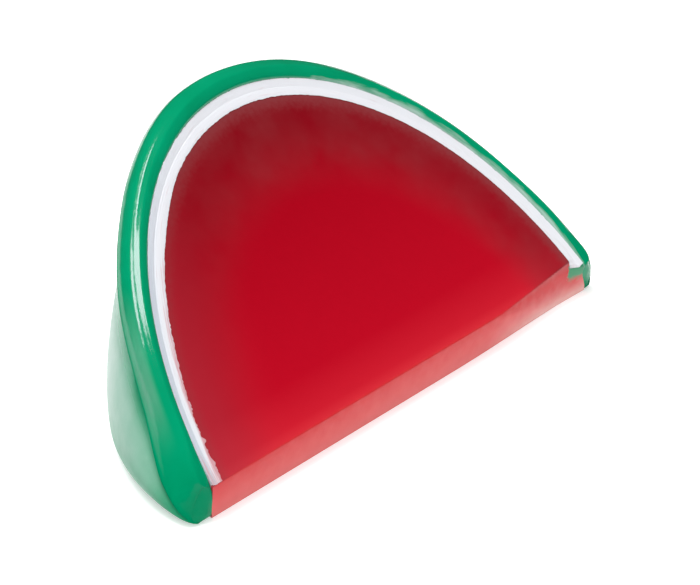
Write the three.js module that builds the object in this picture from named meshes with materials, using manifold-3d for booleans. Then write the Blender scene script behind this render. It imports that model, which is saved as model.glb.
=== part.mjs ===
// Candied watermelon: one wedge of moulded sugar candy, cut like a slice of watermelon.
// Millimetres, +Z up. The wedge lies on its flat back face, its shown face leans back over the
// ground, and its blunt thin edge runs along X at the front (-Y).
import * as THREE from 'three';
import { mergeVertices } from 'three/addons/utils/BufferGeometryUtils.js';
import Module from 'manifold-3d';

const wasm = await Module();
wasm.setup();

// Driving dimensions. The two flat faces of the wedge would meet in a straight line, the pivot
// line, if the thin edge were not blunt. Every "reach" is a distance from that line.
const HALF_LENGTH = 30.0;
const FACE_ANGLE = THREE.MathUtils.degToRad(46.8);
const EDGE_HEIGHT = 3.55;
const EDGE_UNDERCUT = 1.0;
const END_ROUND = 1.6;
const BACK_ROUND = 2.3;
const WALL_FLATNESS = 0.05;
const WALL_BULGE = 0.05;
const GAP = 0.3;

// The raised rim round the shown face.
const RIM_REACH = 37.65;
const RIM_STEP_SIDE = 0.95;
const RIM_STEP_TOP = 0.85;
const RIM_DEPTH = 2.3;
const RIM_RISE = 0.4;

// Width of the green and the white band on the shown face, at its ends and at its top.
const GREEN_SIDE = 1.45;
const GREEN_TOP = 2.2;
const WHITE_SIDE = 1.3;
const WHITE_TOP = 1.7;
const WHITE_RISE = 0.2;
const WHITE_LIFT = 0.5;

// The small extra facet at the +X end of the blunt edge.
const FACET_LENGTH = 15.9;
const FACET_RISE = 1.35;

// How finely the curves are stepped.
const ARCH_STEPS = 64;
const WALL_STEPS = 5;
const ROUND_STEPS = 4;

// Each layer ends in an arch: half an ellipse, `half` along X and `reach` away from the pivot
// line. `front` is the arch on the shown face and `back` the one on the ground. `round` is the
// radius where its wall meets the ground, and `bulge` how much its ends swell between the two.
const body = {
  front: { half: HALF_LENGTH - RIM_STEP_SIDE, reach: RIM_REACH - RIM_STEP_TOP },
  back: { half: 31.1, reach: 28.6 },
  round: BACK_ROUND,
  bulge: WALL_BULGE,
};
const whiteOuter = {
  front: { half: HALF_LENGTH - GREEN_SIDE, reach: RIM_REACH - GREEN_TOP },
  back: { half: 27.2, reach: 24.4 },
  round: 0,
  bulge: 0,
};
const redOuter = {
  front: { half: whiteOuter.front.half - WHITE_SIDE, reach: whiteOuter.front.reach - WHITE_TOP },
  back: { half: 25.8, reach: 22.8 },
  round: 0,
  bulge: 0,
};
const rim = { half: HALF_LENGTH, reach: RIM_REACH };

const faceUp = new THREE.Vector3(0, Math.cos(FACE_ANGLE), Math.sin(FACE_ANGLE));
const faceNormal = new THREE.Vector3(0, -Math.sin(FACE_ANGLE), Math.cos(FACE_ANGLE));

// The blunt edge seen end on: its top and bottom corner, and the way out of it.
const edgeTop = new THREE.Vector3(0, EDGE_HEIGHT / Math.tan(FACE_ANGLE), EDGE_HEIGHT);
const edgeBottom = new THREE.Vector3(0, edgeTop.y + EDGE_UNDERCUT, 0);
const edgeDown = edgeBottom.clone().sub(edgeTop).normalize();
const edgeOut = new THREE.Vector3(0, edgeDown.z, -edgeDown.y);

// A closed mesh from a list of rings, each with the same number of points: neighbouring rings
// are joined by quads, and the first and last ring are filled flat.
function loft(rings) {
  const count = rings[0].length;
  const points = rings.flat();
  const index = [];
  for (let r = 0; r + 1 < rings.length; r++) {
    for (let i = 0; i < count; i++) {
      const a = r * count + i;
      const b = r * count + (i + 1) % count;
      index.push(a, b + count, b);
      index.push(a, a + count, b + count);
    }
  }
  const last = (rings.length - 1) * count;
  for (let i = 1; i + 1 < count; i++) {
    index.push(0, i, i + 1);
    index.push(last, last + i + 1, last + i);
  }
  const geometry = new THREE.BufferGeometry().setFromPoints(points);
  geometry.setIndex(index);
  return geometry;
}

// A solid from a geometry that is closed and faces out.
function solid(geometry) {
  const plain = geometry.clone();
  plain.deleteAttribute('normal');
  plain.deleteAttribute('uv');
  const merged = mergeVertices(plain, 1e-5);
  const vertProperties = new Float32Array(merged.attributes.position.array);
  const triVerts = new Uint32Array(merged.index.array);
  return new wasm.Manifold(new wasm.Mesh({ numProp: 3, vertProperties, triVerts }));
}

// Back from a solid to a geometry.
function geometryOf(piece) {
  const mesh = piece.getMesh();
  const geometry = new THREE.BufferGeometry();
  geometry.setAttribute('position', new THREE.BufferAttribute(mesh.vertProperties, 3));
  geometry.setIndex(new THREE.BufferAttribute(mesh.triVerts, 1));
  geometry.computeVertexNormals();
  return geometry;
}

// A point of the wedge at `angle` below the shown face and `reach` from the pivot line.
function wedgePoint(x, reach, angle) {
  const lean = FACE_ANGLE - angle;
  return new THREE.Vector3(x, reach * Math.cos(lean), reach * Math.sin(lean));
}

// One point of a layer's curved wall. `turn` runs from one end of the arch to the other, and
// `height` is the share of the way down from the shown face (0) to the ground (1).
function wallPoint(layer, grow, turn, height) {
  const flat = 1 - WALL_FLATNESS * Math.sin(Math.PI * height);
  const bulge = 1 + layer.bulge * Math.sin(Math.PI * height);
  const half = THREE.MathUtils.lerp(layer.front.half, layer.back.half, height) * bulge + grow;
  const reach = THREE.MathUtils.lerp(layer.front.reach, layer.back.reach, height) * flat + grow;
  const outward = new THREE.Vector2(Math.cos(turn) / half, Math.sin(turn) / reach).normalize();
  const lean = FACE_ANGLE * (1 - height);
  const z = reach * Math.sin(turn) * Math.sin(lean);
  const short = Math.max(layer.round - z, 0);
  const inset = layer.round - Math.sqrt(layer.round ** 2 - short ** 2);
  const x = half * Math.cos(turn) - outward.x * inset;
  return wedgePoint(x, reach * Math.sin(turn) - outward.y * inset, FACE_ANGLE * height);
}

// Shares of the way down the wall at one turn, closer together where the foot is rounded.
function wallHeights(layer, turn) {
  const reach = layer.back.reach * Math.sin(turn);
  const foot = Math.min(Math.asin(Math.min(layer.round / reach, 1)) / FACE_ANGLE, 0.6);
  const heights = [];
  for (let j = 0; j <= WALL_STEPS; j++) {
    heights.push((1 - foot) * j / WALL_STEPS);
  }
  for (let j = 1; j <= ROUND_STEPS; j++) {
    heights.push(1 - foot * (1 - Math.sin(0.5 * Math.PI * j / ROUND_STEPS)));
  }
  return heights;
}

// A whole wedge out to one layer's wall. `above` lengthens it past the shown face and `below`
// past the ground, for a wedge that cuts another.
function wedge(layer, grow = 0, above = 0, below = 0) {
  const rings = [];
  const first = 0.035;
  const rows = WALL_STEPS + ROUND_STEPS + 1;
  for (let j = 0; j < rows; j++) {
    const ring = [];
    for (let i = 0; i <= ARCH_STEPS; i++) {
      const turn = THREE.MathUtils.lerp(first, Math.PI - first, i / ARCH_STEPS);
      ring.push(wallPoint(layer, grow, turn, wallHeights(layer, turn)[j]));
    }
    rings.push(ring);
  }
  if (above > 0) {
    rings.unshift(rings[0].map((point) => point.clone().addScaledVector(faceNormal, above)));
  }
  if (below > 0) {
    rings.push(rings.at(-1).map((point) => point.clone().setZ(-below)));
  }
  return solid(loft(rings));
}

// The rim: a rounded section carried along the arch of the shown face. In the section, `across`
// runs from the outer arch (0) to the inner edge of the green band (1), and `up` is the height
// over the shown face.
function rimRing() {
  const section = [[1.0, -RIM_DEPTH - 0.4], [1.0, 0.05]];
  for (let k = 0; k <= 8; k++) {
    const angle = Math.PI * k / 8;
    section.push([0.5 + 0.46 * Math.cos(angle), 0.1 + (RIM_RISE - 0.1) * Math.sin(angle) ** 0.7]);
  }
  section.push([0.0, -0.35]);
  section.push([0.0, -RIM_DEPTH + 0.6]);
  section.push([0.1, -RIM_DEPTH + 0.2]);
  section.push([0.35, -RIM_DEPTH]);
  const inner = whiteOuter.front;
  const rings = [];
  for (let i = 0; i <= ARCH_STEPS; i++) {
    const turn = THREE.MathUtils.lerp(Math.PI + 0.02, -0.02, i / ARCH_STEPS);
    rings.push(section.map(([across, up]) => {
      const half = THREE.MathUtils.lerp(rim.half, inner.half, across);
      const reach = THREE.MathUtils.lerp(rim.reach, inner.reach, across);
      const point = wedgePoint(half * Math.cos(turn), reach * Math.sin(turn), 0);
      return point.addScaledVector(faceNormal, up);
    }));
  }
  return solid(loft(rings));
}

// A big block whose one flat side passes through `point`, square to `out`; it lies on the side
// that `out` points to.
function blockBeyond(point, out) {
  const size = 200;
  const block = new THREE.BoxGeometry(size, size, size);
  block.translate(0, 0, size / 2);
  const turn = new THREE.Quaternion().setFromUnitVectors(new THREE.Vector3(0, 0, 1), out);
  block.applyQuaternion(turn);
  block.translate(point.x, point.y, point.z);
  return solid(block);
}

// What lies beyond the blunt edge, moved `lift` into the wedge.
function beyondEdge(lift) {
  return blockBeyond(edgeTop.clone().addScaledVector(edgeOut, -lift), edgeOut);
}

// What lies beyond the small facet at the +X end of the blunt edge.
function beyondFacet() {
  const start = edgeTop.clone().setX(HALF_LENGTH - FACET_LENGTH);
  const high = edgeTop.clone().setX(HALF_LENGTH).addScaledVector(faceUp, FACET_RISE);
  const low = edgeBottom.clone().setX(HALF_LENGTH + 1);
  const out = high.clone().sub(start).cross(low.clone().sub(start)).normalize();
  if (out.dot(edgeOut) < 0) {
    out.negate();
  }
  return blockBeyond(start, out);
}

// The rounded ends of the blunt edge: an outline seen along the edge's own slope, with a
// quarter circle at each lower corner, pulled through the whole wedge.
function endOutline() {
  const half = HALF_LENGTH + 1.3;
  const top = 60;
  const shape = new THREE.Shape();
  shape.moveTo(-half + END_ROUND, 0);
  shape.lineTo(half - END_ROUND, 0);
  shape.absarc(half - END_ROUND, END_ROUND, END_ROUND, -Math.PI / 2, 0, false);
  shape.lineTo(half, top);
  shape.lineTo(-half, top);
  shape.lineTo(-half, END_ROUND);
  shape.absarc(-half + END_ROUND, END_ROUND, END_ROUND, Math.PI, Math.PI * 1.5, false);
  const outline = new THREE.ExtrudeGeometry(shape, { depth: 120, bevelEnabled: false, curveSegments: 8 });
  outline.translate(0, 0, -60);
  const inward = edgeOut.clone().negate();
  const across = new THREE.Vector3(1, 0, 0);
  const along = across.clone().cross(inward);
  outline.applyMatrix4(new THREE.Matrix4().makeBasis(across, inward, along));
  outline.translate(edgeTop.x, edgeTop.y, edgeTop.z);
  return solid(outline);
}

// Everything that all layers share: the flat ground, the blunt edge, its facet and its ends.
function trim(piece) {
  const ground = blockBeyond(new THREE.Vector3(0, 0, 0), new THREE.Vector3(0, 0, -1));
  return piece.subtract(ground).subtract(beyondEdge(0)).subtract(beyondFacet()).intersect(endOutline());
}

// The red spreads out to the green along the blunt edge, under the ends of the white.
function redBody() {
  const toes = wedge(whiteOuter, -GAP / 2).intersect(beyondEdge(WHITE_LIFT));
  return trim(wedge(redOuter, -GAP / 2).add(toes));
}

function whiteLayer() {
  const outside = wedge(whiteOuter, -GAP / 2, WHITE_RISE);
  const inside = wedge(redOuter, GAP / 2, 2, 2);
  return trim(outside.subtract(inside)).subtract(beyondEdge(WHITE_LIFT + GAP));
}

function greenShell() {
  return trim(wedge(body).add(rimRing()).subtract(wedge(whiteOuter, GAP / 2, 2, 2)));
}

const layers = [
  {
    name: 'red_candy_body',
    piece: redBody(),
    material: new THREE.MeshStandardMaterial({ color: 0xc00824, roughness: 0.22, metalness: 0 }),
  },
  {
    name: 'white_candy_layer',
    piece: whiteLayer(),
    material: new THREE.MeshStandardMaterial({ color: 0xebedf2, roughness: 0.35, metalness: 0 }),
  },
  {
    name: 'green_candy_shell',
    piece: greenShell(),
    material: new THREE.MeshStandardMaterial({ color: 0x009a62, roughness: 0.2, metalness: 0 }),
  },
];

const watermelon = new THREE.Group();
for (const layer of layers) {
  const mesh = new THREE.Mesh(geometryOf(layer.piece), layer.material);
  mesh.name = layer.name;
  watermelon.add(mesh);
}

// The origin goes to the ground under the middle of the wedge.
const box = new THREE.Box3().setFromObject(watermelon);
const middle = box.getCenter(new THREE.Vector3());
for (const mesh of watermelon.children) {
  mesh.position.set(-middle.x, -middle.y, -box.min.z);
}

export default watermelon;
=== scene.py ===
"""Candied watermelon: a wedge of poured sugar candy in red, white and green layers.

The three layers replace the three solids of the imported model. Everything is in metres, in the
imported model's frame: the wedge lies on its flat back, its thin blunt edge runs along X at the
front, and its shown face leans back.
"""
import math

import bmesh
import bpy
import numpy as np
from mathutils import Matrix, Quaternion, Vector, noise


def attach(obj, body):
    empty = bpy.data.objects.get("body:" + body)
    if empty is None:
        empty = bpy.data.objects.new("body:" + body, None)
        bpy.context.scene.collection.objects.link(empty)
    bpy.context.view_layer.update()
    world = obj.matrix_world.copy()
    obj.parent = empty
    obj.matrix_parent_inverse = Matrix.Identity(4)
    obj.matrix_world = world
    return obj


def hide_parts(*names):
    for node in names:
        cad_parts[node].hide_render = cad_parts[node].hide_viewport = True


bl_info = {
    "name": "Candied Watermelon Wedge",
    "version": (1, 0, 0),
    "blender": (4, 5, 0),
    "location": "3D View > Sidebar > Candy",
    "description": "Builds a wedge of layered sugar candy in the colours of a watermelon slice",
    "category": "Add Mesh",
}

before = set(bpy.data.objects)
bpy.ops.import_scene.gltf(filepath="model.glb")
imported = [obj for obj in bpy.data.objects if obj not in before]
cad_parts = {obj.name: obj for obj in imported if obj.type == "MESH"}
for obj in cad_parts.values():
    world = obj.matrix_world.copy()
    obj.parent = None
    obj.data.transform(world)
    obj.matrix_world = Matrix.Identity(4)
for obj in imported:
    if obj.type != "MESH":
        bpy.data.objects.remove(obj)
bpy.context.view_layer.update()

MM = 0.001

# The pivot line, where the two flat faces would meet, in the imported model's frame.
PIVOT_Y = -16.07 * MM

# How finely the surfaces are stepped.
ARCH_STEPS = 150
FACE_STEPS = 44
EDGE_STEPS = 26
WALL_STEPS = 16
GROUND_STEPS = 22
WHITE_GROUND_STEPS = 4
GREEN_WALL_STEPS = 26
GREEN_GROUND_STEPS = 10
GREEN_INNER_STEPS = 8


# Sizes, colours and stage settings that a user would change.

def length_property(name, description, default_mm):
    """A length in millimetres, kept in metres."""
    return bpy.props.FloatProperty(
        name=name, description=description, default=default_mm * MM, unit="LENGTH", precision=5)


def colour_property(name, description, hex_code):
    """A colour picked by its sRGB hex code."""
    return bpy.props.FloatVectorProperty(
        name=name, description=description, default=linear(hex_code), subtype="COLOR",
        size=3, min=0.0, max=1.0)


def linear(hex_code):
    """Turn an sRGB hex colour into linear red, green and blue."""
    channels = []
    for start in (1, 3, 5):
        value = int(hex_code[start:start + 2], 16) / 255
        channels.append(value / 12.92 if value <= 0.04045 else ((value + 0.055) / 1.055) ** 2.4)
    return channels


class WedgeSizes(bpy.types.PropertyGroup):
    """Sizes of the wedge. Reaches are distances from the pivot line."""

    face_angle: bpy.props.FloatProperty(
        name="Face angle", description="Angle between the shown face and the ground",
        default=math.radians(46.8), unit="ROTATION")
    edge_height: length_property("Edge height", "Height of the blunt thin edge", 3.55)
    edge_undercut: length_property("Edge undercut", "How far the blunt edge leans in at its foot", 0.7)
    red_half: length_property("Red half length", "Half the length of the red on the shown face", 27.25)
    red_reach: length_property("Red reach", "Reach of the red on the shown face", 33.75)
    red_back_half: length_property("Red back half length", "The same on the back", 25.8)
    red_back_reach: length_property("Red back reach", "The same on the back", 22.8)
    white_half: length_property("White half length", "Half the length out to the white", 28.55)
    white_reach: length_property("White reach", "Reach of the white on the shown face", 35.45)
    white_back_half: length_property("White back half length", "The same on the back", 27.2)
    white_back_reach: length_property("White back reach", "The same on the back", 24.4)
    wall_half: length_property("Wall half length", "Half the length of the green wall, under the rim", 29.05)
    wall_reach: length_property("Wall reach", "Reach of the green wall at the shown face", 36.8)
    wall_back_half: length_property("Wall back half length", "The same on the back", 31.1)
    wall_back_reach: length_property("Wall back reach", "The same on the back", 28.6)
    rim_step_side: length_property("Rim step, side", "How far the rim stands out at its sides", 0.95)
    rim_step_top: length_property("Rim step, top", "How far the rim stands out at its top", 0.85)
    rim_depth: length_property("Rim depth", "How far the rim's side comes down the wall", 2.3)
    rim_deeper: length_property("Rim deeper", "How much deeper the rim's side is at its ends", 0.95)
    foot_radius: length_property("Foot radius", "Radius where the wall meets the ground", 2.3)
    left_radius: length_property("Left radius", "Radius at the left end of the blunt edge", 3.0)
    right_radius: length_property("Right radius", "Radius at the right end of the blunt edge", 2.0)
    end_half: length_property("End half length", "Half the length over the ends, at the face", 30.25)
    end_spread: length_property("End spread", "How much more that is near the ground", 1.0)
    toe_height: length_property("Toe height", "Height of the red toes under the white's ends", 0.25)
    facet_length: length_property("Facet length", "Length of the small facet at the right end", 15.9)
    facet_rise: length_property("Facet rise", "How far the facet climbs up the shown face", 1.35)
    facet_foot: length_property("Facet foot", "How far in from the end the facet meets the ground", 3.0)
    wall_flatness: bpy.props.FloatProperty(
        name="Wall flatness", description="How much the wall is flattened half way down", default=0.05)
    wall_bulge: bpy.props.FloatProperty(
        name="Wall bulge", description="How much the wall's ends swell half way down", default=0.05)


class CandyColours(bpy.types.PropertyGroup):
    """Colours of the candy and the stage."""

    red_edge_top: colour_property("Red, edge top", "The blunt edge just under the face", "#C21A22")
    # Painted light: the blunt edge is painted paler toward the ground, and more so at the right end.
    red_edge_foot: colour_property("Red, edge foot", "The blunt edge near the ground", "#DF6C6A")
    red_edge_end: colour_property("Red, edge end", "The blunt edge near the ground at the right", "#EAB0AA")
    # Painted light: the face's lip, low, middle and deep colours run from bright, where the candy is thin
    # and light comes through, to deep where it is thickest.
    red_lip: colour_property("Red, lip", "The face's lowest line, over the blunt edge", "#C42C35")
    red_low: colour_property("Red, low", "A little above the blunt edge", "#B61727")
    red_middle: colour_property("Red, middle", "The middle of the face", "#A8061C")
    red_facet: colour_property("Red, facet", "The upper end of the small facet", "#B24548")
    red_deep: colour_property("Red, deep", "Where the candy is thickest", "#880010")
    red_shade: colour_property("Red, shaded", "Towards the white, where less light comes through", "#300008")
    red_veil: colour_property("Red, veiled", "The slightly dull left part of the face", "#B04652")
    red_haze: colour_property("Red haze", "The dull line beside the white", "#7A383B")
    white_main: colour_property("White", "The opaque white layer", "#D2D3D8")
    # Painted shade: the white's outer slope up to the green is painted in this cooler, darker tone.
    white_slope_shade: colour_property("White, cool", "Its thinner, bluish outer part", "#B7BEC8")
    white_pink: colour_property("White, pink", "Where red shows through its brushed edge", "#C08A90")
    green_main: colour_property("Green", "The opaque green layer", "#00885F")
    green_deep: colour_property("Green, deep", "Where the green is thickest", "#00784F")
    # Painted reflection: the pale sheen of the bright floor on the outside wall and the rim's side. The same
    # colour is also the white smeared on the rim.
    green_pale: colour_property("Green, pale", "The pale film on the outside wall", "#A9BFB6")
    green_smear: colour_property("Green, smeared", "The patch smeared over the red's right end", "#34906A")
    floor: colour_property("Floor", "The pale floor", "#D8D8D8")
    surround: colour_property("Surround", "The dim light from all around", "#303030")


class StageSettings(bpy.types.PropertyGroup):
    """Lights and camera."""

    top_light: bpy.props.FloatProperty(
        name="Top light", description="Power of the large light overhead", default=9.8, unit="POWER")
    side_light: bpy.props.FloatProperty(
        name="Side light", description="Power of the light at the front left", default=4.0, unit="POWER")
    strip_light: bpy.props.FloatProperty(
        name="Strip light", description="Power of the long light high over the left side",
        default=4.5, unit="POWER")
    lens: bpy.props.FloatProperty(
        name="Lens", description="Focal length of the camera", default=164.95, unit="CAMERA")
    camera_distance: length_property("Camera distance", "From the camera to the middle of the view", 305.0)
    camera_azimuth: bpy.props.FloatProperty(
        name="Camera azimuth", description="Direction of the camera round the wedge",
        default=math.radians(-52.24), unit="ROTATION")
    camera_elevation: bpy.props.FloatProperty(
        name="Camera elevation", description="Height of the camera over the ground, as an angle",
        default=math.radians(25.14), unit="ROTATION")
    camera_roll: bpy.props.FloatProperty(
        name="Camera roll", description="Turn of the camera round its own line of sight",
        default=math.radians(-0.28), unit="ROTATION")


# Small helpers.

# Short names for the kinds of node that come up most.
MATH = "ShaderNodeMath"
VECTOR_MATH = "ShaderNodeVectorMath"
JOIN = "ShaderNodeCombineXYZ"
SPLIT = "ShaderNodeSeparateXYZ"
RANGE = "ShaderNodeMapRange"
MIX = "ShaderNodeMix"
NOISE = "ShaderNodeTexNoise"
BUMP = "ShaderNodeBump"
ATTRIBUTE = "ShaderNodeAttribute"
PLACE = "ShaderNodeTexCoord"


def add(tree, kind, inputs=None, **settings):
    """Add a node, set its properties, and link or fill its inputs."""
    made = tree.nodes.new(kind)
    for name, value in settings.items():
        setattr(made, name, value)
    for key, value in (inputs or {}).items():
        if isinstance(value, bpy.types.Node):
            value = value.outputs[0]
        if isinstance(value, bpy.types.NodeSocket):
            tree.links.new(value, made.inputs[key])
        else:
            made.inputs[key].default_value = value
    return made


def smooth(value, low, high):
    """A soft step from 0 at low to 1 at high."""
    share = np.clip((value - low) / (high - low), 0.0, 1.0)
    return share * share * (3 - 2 * share)


def soft_steps(value, steps):
    """The sum of soft steps, each with its size, where it starts and where it ends."""
    return sum(size * smooth(value, low, high) for size, low, high in steps)


def hump(value, start, full, fade, gone):
    """A soft hump: 0 up to start, 1 from full to fade, and 0 again from gone on."""
    return smooth(value, start, full) * (1 - smooth(value, fade, gone))


def profile(sizes):
    """The wedge seen end on: its corners and directions in the YZ plane, from the pivot line."""
    angle = sizes.face_angle
    up = np.array([math.cos(angle), math.sin(angle)])
    normal = np.array([-math.sin(angle), math.cos(angle)])
    top = np.array([sizes.edge_height / math.tan(angle), sizes.edge_height])
    bottom = top + np.array([sizes.edge_undercut, -sizes.edge_height])
    down = (bottom - top) / np.linalg.norm(bottom - top)
    out = np.array([down[1], -down[0]])
    return {"up": up, "normal": normal, "top": top, "bottom": bottom, "out": out}


# The rule that shapes every layer.

RULE_INPUTS = (
    ("Geometry", "NodeSocketGeometry"),
    ("Face Angle", "NodeSocketFloat"),
    ("Red Front", "NodeSocketVector"),
    ("Red Back", "NodeSocketVector"),
    ("White Front", "NodeSocketVector"),
    ("White Back", "NodeSocketVector"),
    ("Wall Front", "NodeSocketVector"),
    ("Wall Back", "NodeSocketVector"),
    ("Rim Step", "NodeSocketVector"),
    ("Wall Bulge", "NodeSocketFloat"),
    ("Wall Flatness", "NodeSocketFloat"),
    ("Foot Radius", "NodeSocketFloat"),
    ("Edge Direction", "NodeSocketVector"),
    ("Edge Distance", "NodeSocketFloat"),
    ("Pivot", "NodeSocketVector"),
    ("Material", "NodeSocketMaterial"),
)


def wedge_rule():
    """Build the tree that lays each point of a blank onto the wedge.

    A blank carries three vectors at each point. "place" is how far along the arch, how far down
    from the shown face to the ground, and across which layer: -1 the red's arch, 0 the white's,
    1 the green wall's. "bead" is the share of the rim's step, the height over the face and the
    share of the foot's radius. "edge" is the height over the blunt edge, how far out from it, and
    how much painted pale sheen, a painted reflection of the bright floor, lies on the surface there, which
    only the finish reads.
    """
    tree = bpy.data.node_groups.new("wedge_rule", "GeometryNodeTree")
    for name, kind in RULE_INPUTS:
        tree.interface.new_socket(name=name, in_out="INPUT", socket_type=kind)
    tree.interface.new_socket(name="Geometry", in_out="OUTPUT", socket_type="NodeSocketGeometry")
    given = tree.nodes.new("NodeGroupInput").outputs

    stored = []
    for name in ("place", "bead", "edge"):
        value = add(tree, "GeometryNodeInputNamedAttribute", {0: name}, data_type="FLOAT_VECTOR")
        stored.append(add(tree, SPLIT, {0: value}).outputs)
    (along, down, across), (step, lift, foot), (raised, out, _) = stored

    # The arch at this point: half length along X and reach from the pivot line. The white may lap
    # over the red, so the share across it isn't clamped below.
    inner_share = add(tree, MATH, {0: across, 1: 1.0}, operation="ADD")
    inner_share = add(tree, MATH, {0: inner_share, 1: 1.0}, operation="MINIMUM")
    outer_share = add(tree, RANGE, {0: across, 1: 0.0, 2: 1.0, 3: 0.0, 4: 1.0})
    ends = []
    for side in ("Front", "Back"):
        inner = add(tree, MIX, {0: inner_share, 4: given["Red " + side], 5: given["White " + side]},
                    data_type="VECTOR", clamp_factor=False)
        outer = add(tree, MIX, {0: outer_share, 4: inner.outputs[1], 5: given["Wall " + side]},
                    data_type="VECTOR")
        ends.append(outer.outputs[1])
    size = add(tree, MIX, {0: down, 4: ends[0], 5: ends[1]}, data_type="VECTOR").outputs[1]
    middle = add(tree, MATH, {0: down, 1: math.pi}, operation="MULTIPLY")
    middle = add(tree, MATH, {0: middle}, operation="SINE")
    bulge = add(tree, MATH, {0: middle, 1: outer_share}, operation="MULTIPLY")
    bulge = add(tree, MATH, {0: bulge, 1: given["Wall Bulge"], 2: 1.0}, operation="MULTIPLY_ADD")
    flatness = add(tree, MATH, {0: middle, 1: given["Wall Flatness"]}, operation="MULTIPLY")
    flatness = add(tree, MATH, {0: 1.0, 1: flatness}, operation="SUBTRACT")
    swell = add(tree, JOIN, {0: bulge, 1: flatness})
    rim = add(tree, VECTOR_MATH, {0: given["Rim Step"], "Scale": step}, operation="SCALE")
    size = add(tree, VECTOR_MATH, {0: size, 1: swell, 2: rim}, operation="MULTIPLY_ADD")

    # The flat direction that this point lies in, between the shown face and the ground.
    lean = add(tree, MATH, {0: 1.0, 1: down}, operation="SUBTRACT")
    lean = add(tree, MATH, {0: lean, 1: given["Face Angle"]}, operation="MULTIPLY")
    ahead = add(tree, MATH, {0: lean}, operation="COSINE")
    above = add(tree, MATH, {0: lean}, operation="SINE")
    slope = add(tree, JOIN, {1: ahead, 2: above})
    face_up = add(tree, MATH, {0: given["Face Angle"]}, operation="COSINE")
    face_back = add(tree, MATH, {0: given["Face Angle"]}, operation="SINE")
    face_back = add(tree, MATH, {0: face_back, 1: -1.0}, operation="MULTIPLY")
    face_normal = add(tree, JOIN, {1: face_back, 2: face_up})

    # Where that direction meets the blunt edge, and the turn of the arch there.
    closing = add(tree, VECTOR_MATH, {0: slope, 1: given["Edge Direction"]},
                  operation="DOT_PRODUCT").outputs["Value"]
    tilt = add(tree, VECTOR_MATH, {0: face_normal, 1: given["Edge Direction"]},
               operation="DOT_PRODUCT").outputs["Value"]
    distance = add(tree, MATH, {0: tilt, 1: lift}, operation="MULTIPLY")
    distance = add(tree, MATH, {0: given["Edge Distance"], 1: distance}, operation="SUBTRACT")
    edge_reach = add(tree, MATH, {0: distance, 1: closing}, operation="DIVIDE")
    first_reach = add(tree, MATH, {0: raised, 1: closing}, operation="DIVIDE")
    first_reach = add(tree, MATH, {0: edge_reach, 1: first_reach}, operation="ADD")
    reach = add(tree, SPLIT, {0: size}).outputs[1]
    first_turn = add(tree, MATH, {0: first_reach, 1: reach}, operation="DIVIDE")
    first_turn = add(tree, MATH, {0: first_turn}, operation="ARCSINE")
    span = add(tree, MATH, {0: first_turn, 1: -2.0, 2: math.pi}, operation="MULTIPLY_ADD")
    turn = add(tree, MATH, {0: along, 1: span, 2: first_turn}, operation="MULTIPLY_ADD")

    # The point on the arch, drawn in where the foot is rounded.
    cosine = add(tree, MATH, {0: turn}, operation="COSINE")
    sine = add(tree, MATH, {0: turn}, operation="SINE")
    circle = add(tree, JOIN, {0: cosine, 1: sine})
    arch = add(tree, VECTOR_MATH, {0: circle, 1: size}, operation="MULTIPLY")
    arch_reach = add(tree, SPLIT, {0: arch}).outputs[1]
    height = add(tree, MATH, {0: arch_reach, 1: above}, operation="MULTIPLY")
    height = add(tree, MATH, {0: lift, 1: face_up, 2: height}, operation="MULTIPLY_ADD")
    radius = add(tree, MATH, {0: given["Foot Radius"], 1: foot}, operation="MULTIPLY")
    short = add(tree, MATH, {0: radius, 1: height}, operation="SUBTRACT")
    short = add(tree, MATH, {0: short, 1: 0.0}, operation="MAXIMUM")
    short = add(tree, MATH, {0: short, 1: radius}, operation="MINIMUM")
    short_squared = add(tree, MATH, {0: short, 1: short}, operation="MULTIPLY")
    chord = add(tree, MATH, {0: radius, 1: radius}, operation="MULTIPLY")
    chord = add(tree, MATH, {0: chord, 1: short_squared}, operation="SUBTRACT")
    chord = add(tree, MATH, {0: chord, 1: 0.0}, operation="MAXIMUM")
    chord = add(tree, MATH, {0: chord}, operation="SQRT")
    inset = add(tree, MATH, {0: radius, 1: chord}, operation="SUBTRACT")
    outward = add(tree, VECTOR_MATH, {0: circle, 1: size}, operation="DIVIDE")
    outward = add(tree, VECTOR_MATH, {0: outward}, operation="NORMALIZE")
    outward = add(tree, VECTOR_MATH, {0: outward, "Scale": inset}, operation="SCALE")
    drawn = add(tree, VECTOR_MATH, {0: arch, 1: outward}, operation="SUBTRACT")
    drawn = add(tree, SPLIT, {0: drawn}).outputs
    wall_reach = add(tree, MATH, {0: drawn[1], 1: edge_reach}, operation="MAXIMUM")
    reach = add(tree, MIX, {0: out, 2: edge_reach, 3: wall_reach}).outputs[0]

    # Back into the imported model's frame.
    flat_y = add(tree, MATH, {0: reach, 1: ahead}, operation="MULTIPLY")
    flat_z = add(tree, MATH, {0: reach, 1: above}, operation="MULTIPLY")
    flat = add(tree, JOIN, {0: drawn[0], 1: flat_y, 2: flat_z})
    risen = add(tree, VECTOR_MATH, {0: face_normal, "Scale": lift}, operation="SCALE")
    point = add(tree, VECTOR_MATH, {0: flat, 1: risen}, operation="ADD")
    point = add(tree, VECTOR_MATH, {0: point, 1: given["Pivot"]}, operation="ADD")
    placed = add(tree, "GeometryNodeSetPosition", {"Geometry": given["Geometry"], "Position": point})
    whole = add(tree, "GeometryNodeRealizeInstances", {"Geometry": placed})
    dressed = add(tree, "GeometryNodeSetMaterial", {"Geometry": whole, "Material": given["Material"]})
    add(tree, "NodeGroupOutput", {0: dressed})
    return tree


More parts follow.
